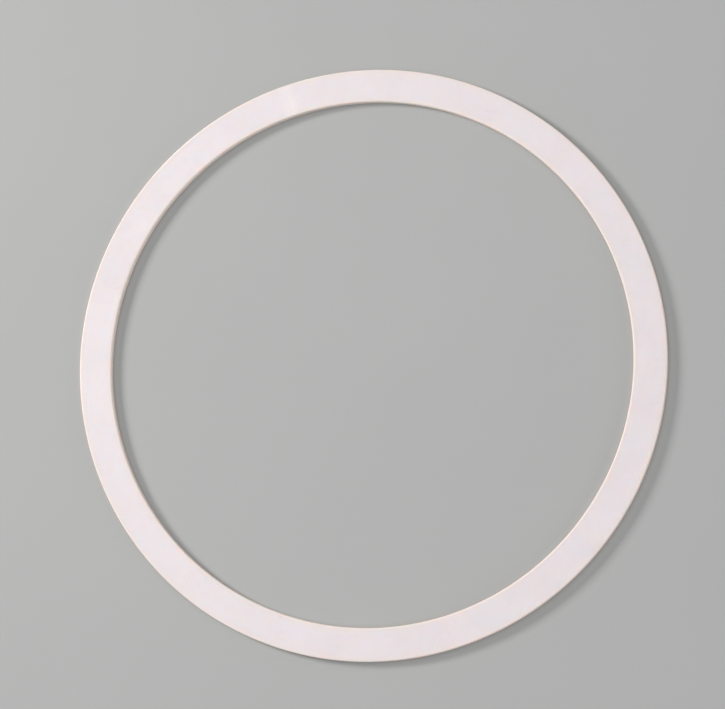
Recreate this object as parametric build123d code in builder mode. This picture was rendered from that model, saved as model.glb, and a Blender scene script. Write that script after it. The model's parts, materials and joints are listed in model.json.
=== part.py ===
from build123d import *
from math import cos, degrees, radians, sin
import os

# A flat-section gymnastics hoop, lying on Z = 0 with its axis on Z. Two hollow
# half bands of plastic butt together at two joints on the Y axis. Inside each
# joint a curved connector plug bridges the seam, and four ring-shank pins, driven
# outwards through the inner wall, hold it. Millimetres and degrees.

# Hoop and band
outer_diameter = 500.0
band_width = 28.0
band_thickness = 7.0
wall = 1.5
outer_corner_radius = 1.2
inner_corner_radius = 1.6
cavity_corner_radius = 0.8
seam_gap = 0.02

# Connector plugs: a body with room round it, and grip ribs that fill the cavity
plug_half_angle = 10.0
plug_clearance = 0.25
plug_lead_in = 0.6
rib_clearance = 0.04
rib_angle = 0.35
rib_offsets = (1.4, 5.5, 8.8)

# Ring-shank pins, each at its own angle from the seam
pin_offsets = (-7.5, -3.5, 3.5, 7.5)
pin_length = 12.0
pin_radius = 0.8
pin_head_radius = 1.5
pin_head_rim = 0.1
pin_head_recess = 0.05
pin_point_length = 1.6
pin_point_radius = 0.15
pin_ring_start = 4.0
pin_ring_pitch = 0.8
pin_ring_depth = 0.12
pin_ring_count = 6
pin_clearance = 0.02
pin_end_room = 0.4

# Sizes that follow from them
outer_radius = outer_diameter / 2
inner_radius = outer_radius - band_width
mid_radius = outer_radius - band_width / 2
mid_height = band_thickness / 2
cavity_width = band_width - 2 * wall
cavity_height = band_thickness - 2 * wall
seam_gap_angle = degrees(seam_gap / mid_radius)
pin_hole_radius = pin_radius + pin_clearance
pin_start_radius = inner_radius + pin_head_recess
countersink_radius = pin_head_radius + pin_head_rim + pin_head_recess + pin_clearance
seam_angles = {"a": 90.0, "b": -90.0}


def section_plane(angle, radius=0.0, height=0.0):
    """The upright plane through the hoop's axis at this angle: local X points outwards, local Y up."""
    turn = radians(angle)
    return Plane(
        origin=(radius * cos(turn), radius * sin(turn), height),
        x_dir=(cos(turn), sin(turn), 0),
        z_dir=(sin(turn), -cos(turn), 0),
    )


def pin_plane(radius, angle):
    """The plane across a pin at this radius and angle, whose normal points back at the hoop's axis."""
    turn = radians(angle)
    return Plane(
        origin=(radius * cos(turn), radius * sin(turn), mid_height),
        x_dir=(-sin(turn), cos(turn), 0),
        z_dir=(-cos(turn), -sin(turn), 0),
    )


os.makedirs("parts", exist_ok=True)

# Half bands: the hollow section turned through half a circle, one end at each
# joint, with countersunk pin holes through the inner wall
for letter, first_seam in (("a", -90.0), ("b", 90.0)):
    with BuildPart() as half_band:
        with BuildSketch(section_plane(first_seam + seam_gap_angle / 2)) as section:
            with Locations((mid_radius, mid_height)):
                Rectangle(band_width, band_thickness)
            fillet(section.vertices().group_by(Axis.X)[0], inner_corner_radius)
            fillet(section.vertices().group_by(Axis.X)[-1], outer_corner_radius)
            with Locations((mid_radius, mid_height)):
                RectangleRounded(
                    cavity_width, cavity_height, cavity_corner_radius, mode=Mode.SUBTRACT
                )
        revolve(axis=Axis.Z, revolution_arc=180 - seam_gap_angle)
        own_offsets = [offset for offset in pin_offsets if offset > 0]
        pin_angles = [first_seam + offset for offset in own_offsets]
        pin_angles += [first_seam + 180 - offset for offset in own_offsets]
        with Locations(*[pin_plane(inner_radius, angle) for angle in pin_angles]):
            CounterSinkHole(
                pin_hole_radius,
                countersink_radius,
                depth=2 * wall,
                counter_sink_angle=90,
            )
    half_band.part.label = f"half_band_{letter}"
    export_step(half_band.part, f"parts/half_band_{letter}.step")

# Connector plugs: a curved bar with tapered ends, grip ribs across it and blind
# holes for the pins
for letter, seam in seam_angles.items():
    with BuildPart() as connector:
        with BuildSketch(section_plane(seam - plug_half_angle)):
            with Locations((mid_radius, mid_height)):
                RectangleRounded(
                    cavity_width - 2 * plug_clearance,
                    cavity_height - 2 * plug_clearance,
                    cavity_corner_radius,
                )
        revolve(axis=Axis.Z, revolution_arc=2 * plug_half_angle)
        ends = connector.faces().filter_by(GeomType.PLANE).filter_by(Axis.Z, reverse=True)
        chamfer(ends.edges(), plug_lead_in)
        for offset in rib_offsets:
            for rib_seam_angle in (seam - offset, seam + offset):
                with BuildSketch(section_plane(rib_seam_angle - rib_angle / 2)):
                    with Locations((mid_radius, mid_height)):
                        RectangleRounded(
                            cavity_width - 2 * rib_clearance,
                            cavity_height - 2 * rib_clearance,
                            cavity_corner_radius,
                        )
                revolve(axis=Axis.Z, revolution_arc=rib_angle)
        with Locations(*[pin_plane(pin_start_radius, seam + offset) for offset in pin_offsets]):
            Hole(pin_hole_radius, depth=pin_length + pin_end_room)
    connector.part.label = f"connector_{letter}"
    export_step(connector.part, f"parts/connector_{letter}.step")

# Ring-shank pins: a countersunk head just under the wall's surface, a plain neck,
# rings that taper towards the point, and the point. The outline is distance from
# the head along the pin, then radius.
head_foot = pin_head_rim + pin_head_radius - pin_radius
ring_outline = []
for ring in range(pin_ring_count):
    ring_place = pin_ring_start + ring * pin_ring_pitch
    ring_outline.append((ring_place, pin_radius))
    ring_outline.append((ring_place + pin_ring_pitch, pin_radius - pin_ring_depth))
ring_end = pin_ring_start + pin_ring_count * pin_ring_pitch
pin_outline = [
    (0, 0),
    (0, pin_head_radius),
    (pin_head_rim, pin_head_radius),
    (head_foot, pin_radius),
    *ring_outline,
    (ring_end, pin_radius),
    (pin_length - pin_point_length, pin_radius),
    (pin_length, pin_point_radius),
    (pin_length, 0),
]
for letter, seam in seam_angles.items():
    for number, offset in enumerate(pin_offsets, start=1):
        pin_angle = seam + offset
        with BuildPart() as joint_pin:
            with BuildSketch(section_plane(pin_angle, pin_start_radius, mid_height)):
                with BuildLine():
                    Polyline(*pin_outline, close=True)
                make_face()
            pin_direction = (cos(radians(pin_angle)), sin(radians(pin_angle)), 0)
            revolve(axis=Axis((0, 0, mid_height), pin_direction))
        joint_pin.part.label = f"joint_pin_{letter}{number}"
        export_step(joint_pin.part, f"parts/joint_pin_{letter}{number}.step")
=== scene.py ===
import json
from math import cos, pi, radians, sin

import bpy
import numpy as np
from mathutils import Matrix, Vector


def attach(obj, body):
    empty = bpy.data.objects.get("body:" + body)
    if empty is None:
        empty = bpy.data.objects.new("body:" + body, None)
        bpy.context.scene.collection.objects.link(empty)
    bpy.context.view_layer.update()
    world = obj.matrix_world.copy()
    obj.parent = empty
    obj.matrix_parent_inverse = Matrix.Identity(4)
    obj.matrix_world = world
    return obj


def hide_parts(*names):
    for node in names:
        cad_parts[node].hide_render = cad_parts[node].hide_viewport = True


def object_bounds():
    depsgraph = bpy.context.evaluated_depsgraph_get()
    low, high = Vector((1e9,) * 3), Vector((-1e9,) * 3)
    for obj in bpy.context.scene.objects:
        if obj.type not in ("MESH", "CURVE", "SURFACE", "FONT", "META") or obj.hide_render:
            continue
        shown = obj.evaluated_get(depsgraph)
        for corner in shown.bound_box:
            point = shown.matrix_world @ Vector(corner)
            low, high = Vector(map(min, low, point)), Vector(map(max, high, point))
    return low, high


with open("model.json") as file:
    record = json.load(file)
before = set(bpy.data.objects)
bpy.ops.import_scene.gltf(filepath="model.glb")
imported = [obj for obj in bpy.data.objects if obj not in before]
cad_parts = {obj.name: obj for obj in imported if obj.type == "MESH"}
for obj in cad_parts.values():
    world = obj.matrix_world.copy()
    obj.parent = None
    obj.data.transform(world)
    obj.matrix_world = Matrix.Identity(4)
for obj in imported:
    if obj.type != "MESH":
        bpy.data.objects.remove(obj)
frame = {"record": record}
cad_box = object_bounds()

# ------------------------------------------------------------ sizes, in metres
MM = 0.001
rest_mount = next(mount for mount in frame["record"]["mounts"] if mount["name"] == "rest_face")
outer_radius = cad_box[1].y
thickness = cad_box[1].z
mid_radius = rest_mount["pos_m"][0]
band_width = 2 * (outer_radius - mid_radius)
inner_radius = mid_radius - band_width / 2
mid_height = thickness / 2

wall = 1.5 * MM
outer_round = 1.2 * MM
inner_round = 1.6 * MM
cavity_round = 0.8 * MM
seam_gap = 0.02 * MM
end_break = 0.05 * MM
face_sink = 0.05 * MM
support = 0.12 * MM
band_step = radians(0.5)
plug_step = radians(1.0)

pin_offsets = np.radians((3.5, 7.5))
pin_length = 12.0 * MM
pin_radius = 0.8 * MM
pin_clearance = 0.02 * MM
pin_hole = pin_radius + pin_clearance
pin_recess = 0.05 * MM
pin_end_room = 0.4 * MM
head_radius = 1.5 * MM
head_rim = 0.1 * MM
head_dish = 0.04 * MM
ring_start = 4.0 * MM
ring_pitch = 0.8 * MM
ring_depth = 0.12 * MM
ring_count = 6
point_length = 1.6 * MM
point_radius = 0.15 * MM
countersink = head_radius + head_rim + pin_recess + pin_clearance

plug_half_angle = radians(10.0)
plug_room = 0.25 * MM
plug_lead_in = 0.6 * MM
rib_room = 0.04 * MM
rib_angle = radians(0.35)
rib_offsets = np.radians((1.4, 5.5, 8.8))
steep = 0.03 * MM
hole_ring = 2
seam_angles = {"a": pi / 2, "b": -pi / 2}


# --------------------------------------------------------------------- camera
camera_tilt = radians(13.1)
camera_lean = radians(-53.8)
view_up = radians(73.25)
camera_distance = 2.2
framed_width = 0.6067
aim_left = 4.2 * MM
aim_up = 5.7 * MM


def level(turn):
    """The level direction at this angle about the hoop's axis: (cos, sin, 0)."""
    return Vector((cos(turn), sin(turn), 0))


def make_camera():
    """A long lens almost straight above the hoop, leaning a little, aimed just off the hoop's centre."""
    back = level(camera_lean) * sin(camera_tilt) + Vector((0, 0, cos(camera_tilt)))
    up = level(view_up)
    up = (up - back * up.dot(back)).normalized()
    right = up.cross(back)
    data = bpy.data.cameras.new("camera")
    data.sensor_width = 36
    data.lens = data.sensor_width * camera_distance / framed_width
    camera = bpy.data.objects.new("camera", data)
    bpy.context.scene.collection.objects.link(camera)
    aim = Vector((0, 0, thickness)) - right * aim_left + up * aim_up
    turned = Matrix((right, up, back)).transposed().to_4x4()
    camera.matrix_world = Matrix.Translation(aim + back * camera_distance) @ turned
    bpy.context.scene.camera = camera


make_camera()


# ------------------------------------------------------------------- outlines
def straight(start, end, steps):
    """Even steps from start towards end without the end itself, with a close support point next to each."""
    reach = np.sign(end - start) * support
    return np.concatenate(([start], np.linspace(start + reach, end - reach, steps)))


def quarter(centre, radius, first_degrees, steps=8):
    """A quarter circle anticlockwise, centre plus radius times (cos, sin), without its last point."""
    turn = np.radians(np.linspace(first_degrees, first_degrees + 90, steps, endpoint=False))
    normal = np.stack([np.cos(turn), np.sin(turn)], 1)
    return np.asarray(centre) + radius * normal, normal


def outline(width, height, inner, outer, levels, sink=0.0):
    """A flat section with rounded corners, anticlockwise in (outwards, up), as points and outward normals.

    It starts at the top of the inner wall, whose rows stand at plus and minus each level, so that
    pin holes can be laid on them. The two flats sink by a parabola across their width.
    """
    side, top = width / 2, height / 2
    rows = np.concatenate((levels[::-1], -levels[1:-1]))
    across = straight(-side + inner, side - outer, 14)
    hollow = sink * (1 - ((across - across.mean()) / (across[-1] - across.mean())) ** 2).clip(0)
    rise = straight(-top + outer, top - outer, 6)

    def flank(r, z, normal):
        points = np.stack(np.broadcast_arrays(r, z), 1)
        return points, np.broadcast_to(normal, points.shape)

    parts = (
        flank(-side, rows, (-1.0, 0.0)),
        quarter((-side + inner, -top + inner), inner, 180),
        flank(across, -top + hollow, (0.0, -1.0)),
        quarter((side - outer, -top + outer), outer, 270),
        flank(side, rise, (1.0, 0.0)),
        quarter((side - outer, top - outer), outer, 0),
        flank(inner - outer - across, top - hollow, (0.0, 1.0)),
        quarter((-side + inner, top - inner), inner, 90),
    )
    points = np.concatenate([part[0] for part in parts])
    normals = np.concatenate([part[1] for part in parts])
    return points, normals


def stations(first, last, step, pins, levels, marks=()):
    """Angles of the sections along an arc: even steps, replaced near each pin by its levels."""
    count = round((last - first) / step) + 1
    even = np.linspace(first, last, count)
    for pin in pins:
        even = even[abs(even - pin) > (levels[-1] + support) / inner_radius]
    spread = np.concatenate((-levels[::-1], levels[1:])) / inner_radius
    near_pins = (np.asarray(pins)[:, None] + spread).ravel()
    every = np.concatenate((even, near_pins, marks))
    return np.unique(every.round(9))


def sweep(angles, points):
    """The outline carried round the hoop: a grid of angle, radius and height, sections by outline points."""
    shape = (len(angles), len(points))
    theta = np.broadcast_to(angles[:, None], shape).copy()
    radius = np.broadcast_to(mid_radius + points[:, 0], shape).copy()
    height = np.broadcast_to(mid_height + points[:, 1], shape).copy()
    return theta, radius, height


def round_holes(theta, radius, height, pins, rings, wall_radius, edge, limit, depth):
    """Turns the square rings of grid lines round each pin into circles, and sinks them by depth(distance).

    A point at (s, t) from the pin's axis, at q = max(|s|, |t|), moves to (s, t) times q over its
    distance from the axis. The move is whole up to edge and fades to none at limit.
    """
    for pin in pins:
        column = int(abs(theta[:, 0] - pin).argmin())
        block = (slice(column - rings, column + rings + 1), slice(0, 2 * rings + 1))
        s = wall_radius * (theta[block] - pin)
        t = height[block] - mid_height
        q = np.maximum(abs(s), abs(t))
        share = ((limit - q) / (limit - edge)).clip(0, 1)
        stretch = 1 + share * (q / np.hypot(s, t).clip(1e-9) - 1)
        theta[block] = pin + s * stretch / wall_radius
        height[block] = mid_height + t * stretch
        radius[block] += depth(q)


# --------------------------------------------------------------------- meshes
def grid_faces(sections, points, start=0):
    """Faces of a grid whose rows are closed outlines, and each corner's place (section, outline step)."""
    i, j = np.meshgrid(np.arange(sections - 1), np.arange(points), indexing="ij")
    places = np.stack([np.stack([i + di, j + dj], -1) for di, dj in ((0, 0), (1, 0), (1, 1), (0, 1))], -2)
    places = places.reshape(-1, 4, 2)
    faces = start + places[..., 0] * points + places[..., 1] % points
    return faces, places


def outside_holes(places, columns, ring, rings):
    """True for the faces that don't lie within the given ring of grid lines round any pin."""
    low = places.min(1)
    keep = np.ones(len(low), bool)
    for column in columns:
        by_column = (low[:, 0] >= column - ring) & (low[:, 0] < column + ring)
        by_row = (low[:, 1] >= rings - ring) & (low[:, 1] < rings + ring)
        keep &= ~(by_column & by_row)
    return keep


def ring_round(column, row, ring):
    """Grid places round a square ring: along the first row, down the last column, back and up."""
    span = np.arange(-ring, ring)
    edge = np.full(2 * ring, ring)
    by_column = np.concatenate((span, edge, -span, -edge))
    by_row = np.concatenate((-edge, span, edge, -span))
    return column + by_column, row + by_row


def to_points(theta, radius, height):
    """Angle, radius and height as X, Y, Z: radius times cosine, radius times sine, height."""
    return np.stack([radius * np.cos(theta), radius * np.sin(theta), height], -1).reshape(-1, 3)


def make_piece(name, points, face_sets, run_sets, wall_share, sharp_degrees=28):
    """A mesh object at the origin. A face set is an array of faces by corners, with a run UV for each."""
    corners = np.concatenate([faces.ravel() for faces in face_sets])
    sizes = np.concatenate([np.full(len(faces), faces.shape[1]) for faces in face_sets])
    run = np.concatenate([np.reshape(uv, (-1, 2)) for uv in run_sets])
    used, corners = np.unique(corners, return_inverse=True)
    mesh = bpy.data.meshes.new(name)
    mesh.vertices.add(len(used))
    mesh.vertices.foreach_set("co", points[used].astype(np.float32).ravel())
    mesh.loops.add(len(corners))
    mesh.loops.foreach_set("vertex_index", corners.astype(np.int32))
    mesh.polygons.add(len(sizes))
    mesh.polygons.foreach_set("loop_start", np.concatenate(([0], np.cumsum(sizes)[:-1])).astype(np.int32))
    mesh.update(calc_edges=True)
    mesh.uv_layers.new(name="run").uv.foreach_set("vector", run.astype(np.float32).ravel())
    share = mesh.attributes.new("wall_share", "FLOAT", "POINT")
    share.data.foreach_set("value", np.asarray(wall_share, np.float32)[used])
    mesh.shade_smooth()
    mesh.set_sharp_from_angle(angle=radians(sharp_degrees))
    piece = bpy.data.objects.new(name, mesh)
    bpy.context.scene.collection.objects.link(piece)
    return piece


def perimeter(points):
    """Distance run round a closed outline at each of its points, and at the return to the first."""
    steps = np.roll(points, -1, 0) - points
    return np.concatenate(([0], np.cumsum(np.hypot(steps[:, 0], steps[:, 1]))))


def half_band(letter, turn):
    """A hollow half band: the outer section and its cavity swept through half a turn.

    End faces and pin holes join the two.
    The outer section draws in by a quarter circle over the last end_break at each end. The run UV is
    the arc length at mid radius and the way round the section.
    """
    hole_rows = np.linspace(0, pin_hole, hole_ring + 1)
    rows = np.concatenate((
        hole_rows, np.linspace(pin_hole, countersink, 6)[1:], [thickness / 2 - inner_round]
    ))
    cavity_rows = np.concatenate((
        hole_rows, np.linspace(pin_hole, thickness / 2 - wall - cavity_round, 7)[1:]
    ))
    rings = len(rows) - 1
    skin, skin_normals = outline(band_width, thickness, inner_round, outer_round, rows, face_sink)
    cavity, _ = outline(
        band_width - 2 * wall, thickness - 2 * wall, cavity_round, cavity_round, cavity_rows
    )
    half_gap = seam_gap / 2 / mid_radius
    first, last = turn - pi / 2 + half_gap, turn + pi / 2 - half_gap
    pins = np.concatenate((turn - pi / 2 + pin_offsets, turn + pi / 2 - pin_offsets))
    breaks = end_break * np.array((0.08, 0.25, 0.55, 1.0)) / mid_radius
    angles = stations(first, last, band_step, pins, rows, np.concatenate((first + breaks, last - breaks)))
    columns = [int(abs(angles - pin).argmin()) for pin in pins]

    outer_grid = sweep(angles, skin)
    from_end = np.minimum(angles - angles[0], angles[-1] - angles) * mid_radius
    short = (end_break - from_end).clip(0)[:, None]
    inset = end_break - np.sqrt(end_break**2 - short**2)
    outer_grid[1][:] -= inset * skin_normals[:, 0]
    outer_grid[2][:] -= inset * skin_normals[:, 1]
    round_holes(
        *outer_grid, pins, rings, inner_radius, countersink, rows[-1],
        lambda q: (countersink - q).clip(0, countersink - pin_hole),
    )
    inner_grid = sweep(angles, cavity)
    round_holes(
        *inner_grid, pins, rings, inner_radius + wall, pin_hole * 1.02, cavity_rows[5],
        lambda q: 0 * q,
    )
    points = np.concatenate((to_points(*outer_grid), to_points(*inner_grid)))

    sections, count = len(angles), len(skin)
    faces, places = grid_faces(sections, count)
    keep = outside_holes(places, columns, hole_ring, rings)
    along = angles * mid_radius
    skin_run, cavity_run = perimeter(skin), perimeter(cavity)
    skin_uv = np.stack((along[places[..., 0]], skin_run[places[..., 1]]), -1)
    cavity_uv = np.stack((along[places[..., 0]], cavity_run[places[..., 1]]), -1)
    all_faces = [faces[keep], (faces[keep] + sections * count)[:, ::-1]]
    all_uv = [skin_uv[keep], cavity_uv[keep][:, ::-1]]

    step = np.arange(count)
    follow = (step + 1) % count
    for section in (0, sections - 1):
        outer_ring, inner_ring = section * count + step, (sections + section) * count + step
        outer_next, inner_next = section * count + follow, (sections + section) * count + follow
        end_faces = np.stack((outer_ring, outer_next, inner_next, inner_ring), 1)
        end_uv = np.stack(
            [np.stack((along[section] + off, run), 1) for off, run in
             ((0 * step, skin_run[:-1]), (0 * step, skin_run[1:]),
              (0 * step + wall, skin_run[1:]), (0 * step + wall, skin_run[:-1]))], 1
        )
        turned = slice(None) if section == 0 else slice(None, None, -1)
        all_faces.append(end_faces[:, turned])
        all_uv.append(end_uv[:, turned])
    for column in columns:
        by_column, by_row = ring_round(column, rings, hole_ring)
        rim = by_column * count + by_row
        deep = rim + sections * count
        tube = np.stack((rim, np.roll(rim, -1), np.roll(deep, -1), deep), 1)
        spot = np.array((along[column], skin_run[rings]))
        all_faces.append(tube)
        all_uv.append(np.broadcast_to(spot, (len(tube), 4, 2)))
    share = np.concatenate((
        np.tile(abs(skin_normals[:, 0]), sections), np.zeros(sections * count)
    ))
    return make_piece(f"band_shell_{letter}", points, all_faces, all_uv, share)


def connector(letter, seam):
    """A connector plug: a rounded bar on the band's arc, with tapered ends, grip ribs and blind pin holes.

    Each rib lifts the outline along its normals, and each hole drops steeply to a flat floor between two
    close rings of grid lines.
    """
    floor_edge = pin_hole - steep
    flat = thickness / 2 - wall - plug_room - cavity_round
    rows = np.concatenate((np.linspace(0, floor_edge, hole_ring + 1), np.linspace(pin_hole, flat, 6)))
    rings = len(rows) - 1
    body, normals = outline(
        band_width - 2 * (wall + plug_room), thickness - 2 * (wall + plug_room),
        cavity_round, cavity_round, rows,
    )
    first, last = seam - plug_half_angle, seam + plug_half_angle
    pins = np.concatenate((seam - pin_offsets, seam + pin_offsets))
    tapers = plug_lead_in * np.array((0.33, 0.66, 1.0)) / mid_radius
    rib_middles = seam + np.concatenate((-rib_offsets, rib_offsets))
    flank = steep / mid_radius
    rib_marks = [rib_middles + edge * rib_angle / 2 + off for edge in (-1, 1) for off in (0, edge * flank)]
    marks = np.concatenate((first + tapers, last - tapers, *rib_marks))
    angles = stations(first, last, plug_step, pins, rows, marks)

    grid = sweep(angles, body)
    from_end = np.minimum(angles - angles[0], angles[-1] - angles) * mid_radius
    taper = (plug_lead_in - from_end).clip(0)
    off_rib = abs(angles[:, None] - rib_middles).min(1) - rib_angle / 2
    lift = (plug_room - rib_room) * (1 - off_rib / flank).clip(0, 1) - taper
    grid[1][:] += lift[:, None] * normals[:, 0]
    grid[2][:] += lift[:, None] * normals[:, 1]
    face_radius = inner_radius + wall + plug_room
    floor_depth = inner_radius + pin_recess + pin_length + pin_end_room - face_radius
    round_holes(
        *grid, pins, rings, face_radius, pin_hole * 1.02, flat,
        lambda q: np.where(q < pin_hole - steep / 2, floor_depth, 0.0),
    )
    faces, places = grid_faces(len(angles), len(body))
    run = perimeter(body)
    uv = np.stack((angles[places[..., 0]] * mid_radius, run[places[..., 1]]), -1)
    start_cap = np.arange(len(body))[None, :]
    end_cap = start_cap[:, ::-1] + (len(angles) - 1) * len(body)
    return make_piece(
        f"plug_{letter}", to_points(*grid), [faces, start_cap, end_cap], [uv, body, body[::-1]],
        np.tile(abs(normals[:, 0]), len(angles)),
    )


def joint_pin(name, angle):
    """A ring-shank pin: its outline turned round its own axis, which points outwards from the hoop's axis.

    The outline is distance from the head and radius: a slightly dished head with a rounded rim, a cone,
    the neck, saw-tooth rings that taper towards the point, and the point.
    """
    rim = np.linspace(0, pi / 2, 5)
    rim_round = head_rim / 2
    head = [(head_dish, 0.0), (head_dish * 0.6, head_radius * 0.5), (head_dish * 0.1, head_radius * 0.8)]
    head += [(rim_round * (1 - cos(a)), head_radius - rim_round * (1 - sin(a))) for a in rim]
    head += [(head_rim, head_radius), (head_rim + head_radius - pin_radius, pin_radius)]
    rings = []
    for ring in range(ring_count):
        place = ring_start + ring * ring_pitch
        rings += [(place, pin_radius), (place + ring_pitch * 0.98, pin_radius - ring_depth)]
    end = [
        (ring_start + ring_count * ring_pitch, pin_radius),
        (pin_length - point_length, pin_radius),
        (pin_length - point_radius, point_radius * 1.4),
        (pin_length, 0.0),
    ]
    shape = np.array(head + rings + end)
    around = 40
    turn = np.linspace(0, 2 * pi, around, endpoint=False)
    middle = shape[1:-1]
    out = inner_radius + pin_recess + middle[:, :1] + 0 * turn
    side, up = middle[:, 1:] * np.cos(turn), middle[:, 1:] * np.sin(turn)
    local = np.stack((out, side, up), -1).reshape(-1, 3)
    ends = [(inner_radius + pin_recess + x, 0.0, 0.0) for x in (shape[0, 0], shape[-1, 0])]
    local = np.concatenate((local, ends))
    axis, across = np.array((cos(angle), sin(angle), 0)), np.array((-sin(angle), cos(angle), 0))
    points = local[:, :1] * axis + local[:, 1:2] * across + local[:, 2:] * np.array((0, 0, 1.0))
    points[:, 2] += mid_height
    faces, places = grid_faces(len(middle), around)
    step, follow = np.arange(around), (np.arange(around) + 1) % around
    top = np.stack((np.full(around, len(local) - 2), follow, step), 1)
    base = (len(middle) - 1) * around
    tip = np.stack((np.full(around, len(local) - 1), base + step, base + follow), 1)
    uv = np.stack((places[..., 1] / around, middle[:, 0][places[..., 0]] / pin_length), -1)
    fan_uv = np.zeros((around, 3, 2))
    return make_piece(
        name, points, [faces[:, ::-1], top, tip], [uv[:, ::-1], fan_uv, fan_uv + 1],
        np.zeros(len(points)), sharp_degrees=40,
    )


# ---------------------------------------------------------------- shader tools
def add_node(tree, kind, inputs=None, **settings):
    """Adds a shader node. Each input is a value, or an output socket that is linked to it."""
    made = tree.nodes.new("ShaderNode" + kind)
    for name, value in settings.items():
        setattr(made, name, value)
    for key, value in (inputs or {}).items():
        if isinstance(value, bpy.types.NodeSocket):
            tree.links.new(value, made.inputs[key])
        else:
            made.inputs[key].default_value = value
    return made


def calc(tree, operation, first, second=0.0):
    """A Math node's result."""
    return add_node(tree, "Math", {0: first, 1: second}, operation=operation).outputs[0]


def ramp(tree, value, low, high, to_low=0.0, to_high=1.0):
    """A smooth step of value from low to high."""
    inputs = {"Value": value, "From Min": low, "From Max": high, "To Min": to_low, "To Max": to_high}
    return add_node(tree, "MapRange", inputs, interpolation_type="SMOOTHSTEP").outputs["Result"]


def blend(tree, factor, first, second, blend_type="MIX"):
    """A colour mix."""
    made = add_node(tree, "Mix", data_type="RGBA", blend_type=blend_type)
    for index, value in ((0, factor), (6, first), (7, second)):
        if isinstance(value, bpy.types.NodeSocket):
            tree.links.new(value, made.inputs[index])
        elif index:
            made.inputs[index].default_value = (*value, 1.0)
        else:
            made.inputs[index].default_value = value
    return made.outputs[2]


def new_group(name, inputs, outputs):
    """An empty node group with vector and number inputs and number outputs."""
    group = bpy.data.node_groups.new(name, "ShaderNodeTree")
    for label, default in inputs.items():
        kind = "NodeSocketVector" if label == "Vector" else "NodeSocketFloat"
        socket = group.interface.new_socket(label, in_out="INPUT", socket_type=kind)
        if default is not None:
            socket.default_value = default
    for label in outputs:
        group.interface.new_socket(label, in_out="OUTPUT", socket_type="NodeSocketFloat")
    source = group.nodes.new("NodeGroupInput")
    sink = group.nodes.new("NodeGroupOutput")
    return group, source.outputs, sink.inputs


def mottle_group():
    """Cloudy variation from 0 to 1: layered noise with its middle stretched."""
    group, given, result = new_group("mottle", {"Vector": None, "Scale": 40.0, "Detail": 3.0}, ["Value"])
    noise = add_node(group, "TexNoise", {
        "Vector": given["Vector"], "Scale": given["Scale"], "Detail": given["Detail"], "Roughness": 0.55,
    })
    group.links.new(ramp(group, noise.outputs["Fac"], 0.3, 0.7), result["Value"])
    return group


def specks_group():
    """Sparse round specks: cells whose random number is under Share hold a dot of radius Size, in cells."""
    group, given, result = new_group(
        "specks", {"Vector": None, "Scale": 100.0, "Size": 0.1, "Share": 0.05}, ["Mask"]
    )
    cells = add_node(group, "TexVoronoi", {"Vector": given["Vector"], "Scale": given["Scale"]})
    pick = add_node(group, "SeparateColor", {"Color": cells.outputs["Color"]})
    chosen = calc(group, "LESS_THAN", pick.outputs[0], given["Share"])
    own_size = calc(group, "MULTIPLY", given["Size"], pick.outputs[1])
    inside = calc(group, "SUBTRACT", own_size, cells.outputs["Distance"])
    dot = calc(group, "MULTIPLY", calc(group, "DIVIDE", inside, given["Size"]), 4.0)
    clear = add_node(group, "Clamp", {"Value": dot}).outputs[0]
    group.links.new(calc(group, "MULTIPLY", clear, chosen), result["Mask"])
    return group


def scratches_group():
    """Long thin marks: noise stretched along one direction, kept only where it crosses its middle value,
    and only in cloudy patches."""
    group, given, result = new_group(
        "scratches", {"Vector": None, "Scale": 30.0, "Stretch": 14.0, "Turn": 0.0, "Width": 0.012}, ["Mask"]
    )
    turned = add_node(group, "VectorRotate", {
        "Vector": given["Vector"], "Angle": given["Turn"],
    }, rotation_type="Z_AXIS").outputs[0]
    squeeze = add_node(group, "CombineXYZ", {"X": 1.0, "Y": given["Stretch"], "Z": 1.0}).outputs[0]
    long_way = add_node(group, "VectorMath", {0: turned, 1: squeeze}, operation="MULTIPLY").outputs[0]
    noise = add_node(group, "TexNoise", {
        "Vector": long_way, "Scale": given["Scale"], "Detail": 2.0, "Roughness": 0.4,
    })
    off_middle = calc(group, "ABSOLUTE", calc(group, "SUBTRACT", noise.outputs["Fac"], 0.5))
    line = calc(group, "SUBTRACT", 1.0, calc(group, "DIVIDE", off_middle, given["Width"]))
    thin = add_node(group, "Clamp", {"Value": line}).outputs[0]
    patch_scale = calc(group, "MULTIPLY", given["Scale"], 1.3)
    patch = add_node(group, "TexNoise", {"Vector": given["Vector"], "Scale": patch_scale, "Detail": 1.0})
    where = ramp(group, patch.outputs["Fac"], 0.54, 0.66)
    group.links.new(calc(group, "MULTIPLY", thin, where), result["Mask"])
    return group


groups = {"mottle": mottle_group(), "specks": specks_group(), "scratches": scratches_group()}


def use_group(tree, name, **inputs):
    """The output of a shared node group placed in this material with its own values."""
    made = tree.nodes.new("ShaderNodeGroup")
    made.node_tree = groups[name]
    for key, value in inputs.items():
        if isinstance(value, bpy.types.NodeSocket):
            tree.links.new(value, made.inputs[key])
        else:
            made.inputs[key].default_value = value
    return made.outputs[0]


def new_material(name, **constants):
    """A material with one Principled BSDF, whose plain numbers are set on its own sockets."""
    material = bpy.data.materials.new(name)
    material.use_nodes = True
    tree = material.node_tree
    tree.nodes.clear()
    shader = add_node(tree, "BsdfPrincipled", constants)
    output = add_node(tree, "OutputMaterial", {"Surface": shader.outputs[0]})
    output.is_active_output = True
    return material, tree, shader.inputs


def bump(tree, height, distance, strength=1.0, normal=None):
    """A Bump node's normal. Distance is the height of 1 in metres."""
    inputs = {"Height": height, "Distance": distance, "Strength": strength}
    if normal is not None:
        inputs["Normal"] = normal
    return add_node(tree, "Bump", inputs).outputs[0]


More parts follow.
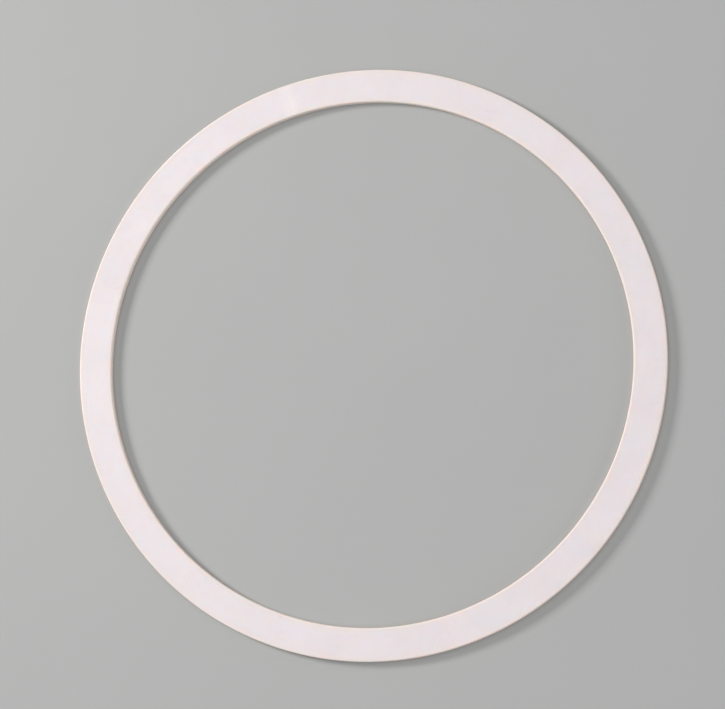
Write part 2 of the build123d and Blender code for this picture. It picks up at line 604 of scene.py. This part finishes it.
# ------------------------------------------------------------------- materials
face_colour = (0.884, 0.799, 0.823)
dull_colour = (0.856, 0.772, 0.793)
# Painted shade: a darker, yellowish colour laid over the walls and along the edges of the face.
painted_edge_shade_colour = (0.872, 0.742, 0.655)
joint_colour = (0.924, 0.844, 0.870)
speck_colour = (0.20, 0.15, 0.11)
pale_speck_colour = (0.95, 0.93, 0.90)
scuff_colour = (0.66, 0.60, 0.59)

light_spread = 2.0 * MM
seam_light_spread = 0.12 * MM
spread_cut_end = 0.3 * MM
spread_whole = 4.5 * MM
joint_mark_half_width = 9.5 * MM
joint_mark_strength = 0.44
# Where the painted edge shade starts and where it is full, counted in from the band's edges.
painted_shade_reach = 6.5 * MM
painted_shade_full = 1.0 * MM


def band_plastic():
    """Pale pinkish translucent plastic: cloudy, with die lines along the band, painted shade with a yellowish
    cast on the walls and along the edges, a paler mark at the +Y joint, specks and scuffs."""
    material, tree, shader = new_material(
        "band_plastic", **{
            "IOR": 1.5, "Specular IOR Level": 0.3, "Subsurface Weight": 1.0,
            "Subsurface Radius": (1.0, 0.72, 0.58),
        }
    )
    place = add_node(tree, "TexCoord").outputs["Object"]
    run = add_node(tree, "UVMap", uv_map="run").outputs[0]
    share = add_node(tree, "Attribute", attribute_name="wall_share").outputs["Fac"]
    x, y, _ = add_node(tree, "SeparateXYZ", {"Vector": place}).outputs

    cloud = use_group(tree, "mottle", Vector=place, Scale=24.0, Detail=3.0)
    fine_cloud = use_group(tree, "mottle", Vector=place, Scale=150.0, Detail=4.0)
    colour = blend(tree, cloud, face_colour, dull_colour)
    colour = blend(tree, calc(tree, "MULTIPLY", fine_cloud, 0.35), colour, dull_colour)

    along_run = add_node(tree, "Mapping", {"Vector": run, "Scale": (3.0, 700.0, 1.0)}).outputs[0]
    die_lines = add_node(tree, "TexNoise", {
        "Vector": along_run, "Scale": 1.0, "Detail": 3.0, "Roughness": 0.6,
    }).outputs["Fac"]
    colour = blend(tree, ramp(tree, die_lines, 0.35, 0.75, 0.0, 0.3), colour, dull_colour)

    level_place = add_node(tree, "CombineXYZ", {"X": x, "Y": y}).outputs[0]
    radius = add_node(tree, "VectorMath", {0: level_place}, operation="LENGTH").outputs["Value"]
    from_middle = calc(tree, "ABSOLUTE", calc(tree, "SUBTRACT", radius, mid_radius))
    edge = band_width / 2
    # Painted shade: the face turns darker and more yellow towards both edges, and the walls take it most
    # strongly. It stands in for shade along the edges and for light glowing through the plastic there, and it
    # tones down the lit edges.
    painted_edge_shade = ramp(tree, from_middle, edge - painted_shade_reach, edge - painted_shade_full, 0.0, 0.32)
    painted_edge_and_wall_shade = calc(tree, "MAXIMUM", painted_edge_shade, ramp(tree, share, 0.05, 0.8, 0.0, 0.9))
    painted_edge_and_wall_shade = calc(tree, "MULTIPLY", painted_edge_and_wall_shade, ramp(tree, fine_cloud, 0.0, 1.0, 0.8, 1.0))
    colour = blend(tree, painted_edge_and_wall_shade, colour, painted_edge_shade_colour)

    off_seam = calc(tree, "ABSOLUTE", x)
    spread = ramp(tree, off_seam, spread_cut_end, spread_whole, seam_light_spread, light_spread)
    tree.links.new(spread, shader["Subsurface Scale"])
    strength = ramp(tree, y, -0.01, 0.01, 0.0, joint_mark_strength)
    near_seam = add_node(tree, "Clamp", {
        "Value": calc(tree, "SUBTRACT", 1.0, calc(tree, "DIVIDE", off_seam, joint_mark_half_width)),
    }).outputs[0]
    flat_face = calc(tree, "SUBTRACT", 1.0, share)
    strength = calc(tree, "MULTIPLY", strength, flat_face)
    near_seam = calc(tree, "MULTIPLY", ramp(tree, near_seam, 0.0, 0.9), strength)
    colour = blend(tree, near_seam, colour, joint_colour)

    scuff = use_group(tree, "scratches", Vector=place, Scale=26.0, Stretch=16.0, Turn=0.6, Width=0.010)
    scuff_across = use_group(tree, "scratches", Vector=place, Scale=34.0, Stretch=12.0, Turn=2.2, Width=0.008)
    scuffs = calc(tree, "MULTIPLY", calc(tree, "MAXIMUM", scuff, scuff_across), flat_face)
    colour = blend(tree, calc(tree, "MULTIPLY", scuffs, 0.35), colour, scuff_colour)

    specks = use_group(tree, "specks", Vector=place, Scale=120.0, Size=0.06, Share=0.03)
    pale_specks = use_group(tree, "specks", Vector=place, Scale=60.0, Size=0.08, Share=0.02)
    colour = blend(tree, calc(tree, "MULTIPLY", pale_specks, 0.8), colour, pale_speck_colour)
    colour = blend(tree, calc(tree, "MULTIPLY", specks, 0.4), colour, speck_colour)
    tree.links.new(colour, shader["Base Color"])

    rough = ramp(tree, fine_cloud, 0.0, 1.0, 0.46, 0.56)
    rough = calc(tree, "ADD", rough, calc(tree, "MULTIPLY", scuffs, 0.12))
    tree.links.new(rough, shader["Roughness"])

    grain = add_node(tree, "TexNoise", {
        "Vector": place, "Scale": 2600.0, "Detail": 3.0, "Roughness": 0.6,
    }).outputs["Fac"]
    normal = bump(tree, grain, 0.012 * MM)
    normal = bump(tree, die_lines, 0.02 * MM, normal=normal)
    normal = bump(tree, calc(tree, "MULTIPLY", scuffs, -1.0), 0.03 * MM, normal=normal)
    tree.links.new(normal, shader["Normal"])
    return material


def connector_plastic():
    """Milky moulded plastic: cloudy, with a fine moulded grain and a few drag marks from fitting."""
    material, tree, shader = new_material("connector_plastic", **{"IOR": 1.5, "Specular IOR Level": 0.4})
    place = add_node(tree, "TexCoord").outputs["Object"]
    cloud = use_group(tree, "mottle", Vector=place, Scale=60.0, Detail=4.0)
    drag = use_group(tree, "scratches", Vector=place, Scale=40.0, Stretch=18.0, Turn=1.57, Width=0.015)
    colour = blend(tree, cloud, (0.66, 0.66, 0.62), (0.58, 0.57, 0.53))
    colour = blend(tree, calc(tree, "MULTIPLY", drag, 0.5), colour, (0.80, 0.80, 0.78))
    tree.links.new(colour, shader["Base Color"])
    tree.links.new(ramp(tree, cloud, 0.0, 1.0, 0.5, 0.62), shader["Roughness"])
    grain = add_node(tree, "TexNoise", {"Vector": place, "Scale": 1800.0, "Detail": 2.0}).outputs["Fac"]
    tree.links.new(bump(tree, grain, 0.015 * MM), shader["Normal"])
    return material


def pin_nylon():
    """Natural nylon, a little warmer than the band: moulding lines round the pin, a faint cloud and pits."""
    material, tree, shader = new_material("pin_nylon", **{
        "IOR": 1.53, "Specular IOR Level": 0.35, "Subsurface Weight": 1.0,
        "Subsurface Radius": (1.0, 0.8, 0.7), "Subsurface Scale": 0.3 * MM,
    })
    place = add_node(tree, "TexCoord").outputs["Object"]
    run = add_node(tree, "UVMap", uv_map="run").outputs[0]
    cloud = use_group(tree, "mottle", Vector=place, Scale=900.0, Detail=4.0)
    pits = use_group(tree, "specks", Vector=place, Scale=2200.0, Size=0.3, Share=0.12)
    colour = blend(tree, cloud, (0.86, 0.79, 0.73), (0.80, 0.73, 0.67))
    colour = blend(tree, calc(tree, "MULTIPLY", pits, 0.4), colour, (0.55, 0.48, 0.42))
    tree.links.new(colour, shader["Base Color"])
    tree.links.new(ramp(tree, cloud, 0.0, 1.0, 0.38, 0.5), shader["Roughness"])
    turned = add_node(tree, "Mapping", {"Vector": run, "Scale": (2.0, 260.0, 1.0)}).outputs[0]
    lines = add_node(tree, "TexNoise", {"Vector": turned, "Scale": 1.0, "Detail": 2.0}).outputs["Fac"]
    normal = bump(tree, lines, 0.006 * MM)
    normal = bump(tree, calc(tree, "MULTIPLY", pits, -1.0), 0.015 * MM, normal=normal)
    tree.links.new(normal, shader["Normal"])
    return material


def floor_paint():
    """Plain pale floor paint with a faint cloud and a fine orange-peel surface."""
    material, tree, shader = new_material("floor_paint", **{"IOR": 1.45, "Specular IOR Level": 0.2})
    place = add_node(tree, "TexCoord").outputs["Object"]
    cloud = use_group(tree, "mottle", Vector=place, Scale=5.0, Detail=3.0)
    colour = blend(tree, cloud, (0.448, 0.455, 0.453), (0.442, 0.449, 0.447))
    tree.links.new(colour, shader["Base Color"])
    tree.links.new(ramp(tree, cloud, 0.0, 1.0, 0.78, 0.8), shader["Roughness"])
    peel = add_node(tree, "TexNoise", {"Vector": place, "Scale": 420.0, "Detail": 2.0}).outputs["Fac"]
    tree.links.new(bump(tree, peel, 0.05 * MM), shader["Normal"])
    return material


# ------------------------------------------------------------------- the pieces
def finish_piece(piece, material, node):
    """Gives a piece its finish, and sets it in place of its CAD node on the hoop."""
    piece.data.materials.append(material)
    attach(piece, "root")
    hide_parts(node)


band_finish, plug_finish, pin_finish = band_plastic(), connector_plastic(), pin_nylon()
for letter, turn in (("a", 0.0), ("b", pi)):
    finish_piece(half_band(letter, turn), band_finish, f"half_band_{letter}")
for letter, seam in seam_angles.items():
    finish_piece(connector(letter, seam), plug_finish, f"connector_{letter}")
    for number, offset in enumerate((*-pin_offsets[::-1], *pin_offsets), start=1):
        pin = joint_pin(f"ring_pin_{letter}{number}", seam + offset)
        finish_piece(pin, pin_finish, f"joint_pin_{letter}{number}")


# ------------------------------------------------------------- floor and light
def make_floor(half_side=5.0, steps=10):
    """A level square grid on the plane that the hoop lies on."""
    line = np.linspace(-half_side, half_side, steps + 1)
    x, y = np.meshgrid(line, line, indexing="ij")
    points = np.stack((x, y, 0 * x), -1).reshape(-1, 3)
    i, j = np.meshgrid(np.arange(steps), np.arange(steps), indexing="ij")
    corner = (i * (steps + 1) + j).ravel()
    faces = np.stack((corner, corner + steps + 1, corner + steps + 2, corner + 1), 1)
    floor = make_piece("floor", points, [faces], [points[faces][..., :2]], np.zeros(len(points)))
    floor.data.materials.append(floor_paint())


def soft_light(name, turn, elevation, distance, size, power, colour):
    """A square area light at this angle and elevation from the hoop, facing it."""
    data = bpy.data.lights.new(name, "AREA")
    data.shape, data.size, data.energy, data.color = "SQUARE", size, power, colour
    light = bpy.data.objects.new(name, data)
    bpy.context.scene.collection.objects.link(light)
    towards = level(turn) * cos(elevation) + Vector((0, 0, sin(elevation)))
    turned = towards.to_track_quat("Z", "Y").to_matrix().to_4x4()
    light.matrix_world = Matrix.Translation(towards * distance) @ turned


make_floor()
soft_light("window_light", radians(141.6), radians(31), 3.2, 0.9, 72.0, (1.0, 0.98, 0.955))
soft_light("wall_bounce", radians(-37.4), radians(26), 4.6, 2.4, 46.0, (1.0, 0.98, 0.96))
soft_light("top_light", 0.0, pi / 2, 3.0, 2.5, 29.5, (1.0, 0.985, 0.965))
world = bpy.data.worlds.new("room")
world.use_nodes = True
world.node_tree.nodes["Background"].inputs["Color"].default_value = (0.95, 0.97, 1.0, 1.0)
world.node_tree.nodes["Background"].inputs["Strength"].default_value = 0.31
bpy.context.scene.world = world
bpy.context.scene.view_settings.view_transform = "Standard"
